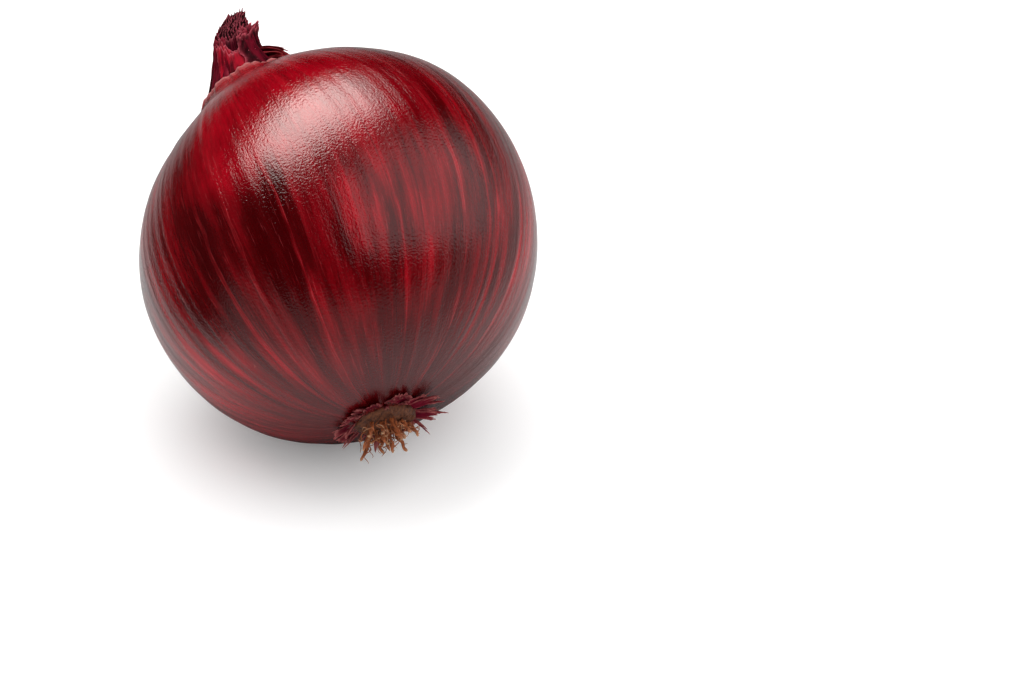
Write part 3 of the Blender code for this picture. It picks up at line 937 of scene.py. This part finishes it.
def strand(start, outward, length, lean_over, swirl, thick, flat, curl, seed):
    """A tapering tube on a line that leaves the plate nearly straight and leans over as it goes. Its
    section is an ellipse with lengthwise wrinkles, which turns as it goes, and its ends are closed."""
    steps = 30
    share = np.linspace(0, 1, steps)[:, None]
    across = np.array([-outward[1], outward[0], 0.0])
    side = unit(outward + across * swirl * share)
    tip = lean_over * (0.25 + 0.75 * share)
    ahead = side * np.sin(tip) + np.array([0, 0, 1]) * np.cos(tip)
    line = start + np.cumsum(ahead, 0) * length / steps
    turns = share * 2 * np.pi
    bent = curl * share * ripple(0, turns, seed, 4, 1, 2.4)
    lift = curl * share * ripple(0, turns, seed + 1, 4, 1, 2.4)
    above = np.cross(side, across)
    line = line + across * bent + np.cross(ahead, across) * lift
    ahead = unit(np.gradient(line, axis=0))
    right = unit(np.cross(ahead, above + 0.01))
    front = np.cross(ahead, right)
    angle = ring(14)
    turn = 2.4 * share * np.sin(seed)
    wrinkle = 1 + 0.13 * np.sin(4 * angle + seed) + 0.1 * ripple(angle, share, seed + 2, 5, 4, 24)
    size = thick * (1 - 0.45 * share) * wrinkle
    size = size * np.minimum(1, 12 * np.minimum(share, 1 - share)) ** 0.5
    wide, narrow = size * np.cos(angle), size * flat * np.sin(angle)
    wide, narrow = wide * np.cos(turn) - narrow * np.sin(turn), wide * np.sin(turn) + narrow * np.cos(turn)
    points = line[:, None] + right[:, None] * wide[..., None] + front[:, None] * narrow[..., None]
    weft = weave(thick * angle, length * share, seed)
    edge = np.exp(-(1 - share) * length / 0.00035) + 0 * angle
    return at_root(points), {"weft": weft, "edge": edge}


for number in range(root_count):
    out = (plate_radius - 3 * root_radius) * np.sqrt((number + 0.5) / root_count)
    angle = number * golden_turn
    outward = round_axis(1, angle, 0)
    lean_over = np.radians(75) * out / plate_radius
    length = rng.uniform(0.0032, 0.0066)
    swirl = rng.uniform(-0.5, 0.5)
    foot = round_axis(out, angle, half_height + seat_gap + plate_thickness - 0.0003)
    seed = 900 + 30 * number
    flat = 0.55 + 0.35 * np.sin(seed) ** 2
    loops = [strand(foot, outward, length, lean_over, swirl, root_radius * 1.15, flat, root_curl, seed)]
    hairs = np.random.default_rng(seed).uniform(-1, 1, (4, 4))
    for hair, (shift, turn_aside, longer, higher) in enumerate(hairs):
        near = foot + np.array([shift, turn_aside, 0]) * 0.0009
        aside = unit(outward + np.array([-outward[1], outward[0], 0]) * turn_aside * 0.8)
        reach = length * (0.75 + 0.3 * longer)
        over = lean_over * (1 + 0.25 * higher)
        hair_seed = seed + 4 + 5 * hair
        loops.append(strand(near, aside, reach, over, 1.2 * shift, hair_radius, 0.8, hair_curl, hair_seed))
    root = add_loops(f"root_{number + 1:02d}_strand", loops, root_strand)
    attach(root, "root")
    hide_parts(f"root_{number + 1:02d}")

# ---- The floor, the lights and the camera ----
# A plain white table top under one large soft box above and behind, and a dim panel at the right. A
# black card stands at the left, and the camera looks down from the front.

floor_half = 6.0
corners = np.array([[[-1, 1, 0], [1, 1, 0]], [[-1, -1, 0], [1, -1, 0]]]) * floor_half
floor = add_surface("floor", corners + np.array([0, 0, -0.00004]))
material, tree, shader = new_finish("white table top")
place = node(tree, "TexCoord").outputs["Object"]
speckle = cloud(place, 60)
white = tint(speckle, (0.95, 0.95, 0.95), (0.98, 0.98, 0.98))
path = node(tree, "LightPath").outputs
# seen only in the skin's gloss, the table is darker, as painted shade: a painted contact shadow near
# the onion, and darker again far from it
from_foot = vector_maths("LENGTH", place, (0.0, 0.0, 0.0), "Value")
mirrored_painted_shade = tint(fade(from_foot, 0.01, 0.052), (0.05, 0.05, 0.05), (0.54, 0.54, 0.54))
mirrored_painted_shade = tint(fade(from_foot, 0.07, 0.15), mirrored_painted_shade, (0.26, 0.26, 0.26))
tree.links.new(tint(path["Is Glossy Ray"], white, mirrored_painted_shade), shader.inputs["Base Color"])
shader.inputs["Roughness"].default_value = 0.7
# to the camera alone the table glows faintly and evenly, a painted light that lightens its shadow
shader.inputs["Emission Color"].default_value = (1, 1, 1, 1)
tree.links.new(times(path["Is Camera Ray"], 0.1), shader.inputs["Emission Strength"])
floor.data.materials.append(material)


def add_panel(name, towards, level, away, turn, size, shift, radiance):
    """A rectangular soft light in the plane at a distance from the bulb's middle that faces it. Its
    width runs along level turned by turn in that plane, and shift moves it along its own width and
    height. Its power is its radiance times pi times its area."""
    width, height = size
    light = bpy.data.lights.new(name, "AREA")
    light.shape = "RECTANGLE"
    light.size, light.size_y = width, height
    light.energy = radiance * np.pi * width * height
    panel = bpy.data.objects.new(name, light)
    out = Vector(towards).normalized()
    right = (Vector(level) - Vector(level).dot(out) * out).normalized()
    right = right * np.cos(turn) + out.cross(right) * np.sin(turn)
    above = out.cross(right)
    panel.rotation_euler = Matrix((right, above, out)).transposed().to_euler()
    panel.location = Vector(bulb_middle) + out * away + right * shift[0] + above * shift[1]
    scene.collection.objects.link(panel)
    return panel


# three boxes in one place, each a little nearer. The second and third show only in the gloss, which
# they brighten, most of all at its middle
key_towards, key_level, key_away = (-0.03, 0.5, 0.866), (0.978, -0.166, 0.125), 0.8
key_turn, key_size, key_shift = np.radians(26), (1.16, 0.56), (-0.04, -0.168)
middle_size, middle_shift = (0.84, 0.48), (-0.1, -0.12)
key_boxes = (
    ("key_soft_box", 0.0, key_size, key_shift, 1.55),
    ("key_soft_box_glow", 0.01, key_size, key_shift, 1.0),
    ("key_soft_box_middle", 0.02, middle_size, middle_shift, 1.8),
)
for name, nearer, size, shift, radiance in key_boxes:
    box = add_panel(name, key_towards, key_level, key_away - nearer, key_turn, size, shift, radiance)
    if nearer:
        box.data.spread = np.radians(115)
        box.visible_diffuse = False
        box.data.color = (1.0, 0.97, 0.91)
side_towards, side_level, side_away = (0.52, -0.53, 0.67), (0.8, 0.565, -0.207), 1.0
side_turn, side_size, side_shift = np.radians(-18), (2.4, 1.05), (0.3, -0.035)
add_panel("side_panel", side_towards, side_level, side_away, side_turn, side_size, side_shift, 0.9)

# a black card at the left keeps the far table out of the skin's gloss there
flag_left, flag_front, flag_back, flag_top = -0.092, -0.012, 0.9, 0.128
flag_along, flag_up = np.meshgrid(np.linspace(flag_front, flag_back, 9), np.linspace(0.0, flag_top, 5))
flag = add_surface("black_card", np.stack([np.full_like(flag_along, flag_left), flag_along, flag_up], -1))
material, tree, shader = new_finish("black felt")
felt = cloud(node(tree, "TexCoord").outputs["Object"], 400)
tree.links.new(tint(felt, (0.01, 0.01, 0.01), (0.022, 0.022, 0.022)), shader.inputs["Base Color"])
shader.inputs["Roughness"].default_value = 1.0
shader.inputs["Specular IOR Level"].default_value = 0.0
flag.data.materials.append(material)
flag.visible_camera = flag.visible_diffuse = flag.visible_shadow = False

world = bpy.data.worlds.new("studio")
world.use_nodes = True
scene.world = world
tree = world.node_tree
path = node(tree, "LightPath").outputs
background = tree.nodes["Background"]
tree.links.new(plus(0.95, path["Is Camera Ray"], 0.05), background.inputs["Strength"])
background.inputs["Color"].default_value = (1, 1, 1, 1)
world.cycles_visibility.glossy = False
scene.view_settings.view_transform = "Standard"

view_azimuth, view_elevation = np.radians(-26.4), np.radians(32)
look_azimuth, look_elevation = np.radians(-30.53), np.radians(33.99)
camera_distance = 0.5797


def backwards(azimuth, elevation):
    """The unit direction from what is looked at back to the camera."""
    level = np.cos(elevation)
    return np.array([np.sin(azimuth) * level, -np.cos(azimuth) * level, np.sin(elevation)])


lens = bpy.data.cameras.new("camera")
lens.lens = 100.0
lens.sensor_width = 36.0
camera = bpy.data.objects.new("camera", lens)
camera.location = bulb_middle + backwards(view_azimuth, view_elevation) * camera_distance
camera.rotation_euler = Vector(backwards(look_azimuth, look_elevation)).to_track_quat("Z", "Y").to_euler()
scene.collection.objects.link(camera)
bpy.context.scene.camera = camera
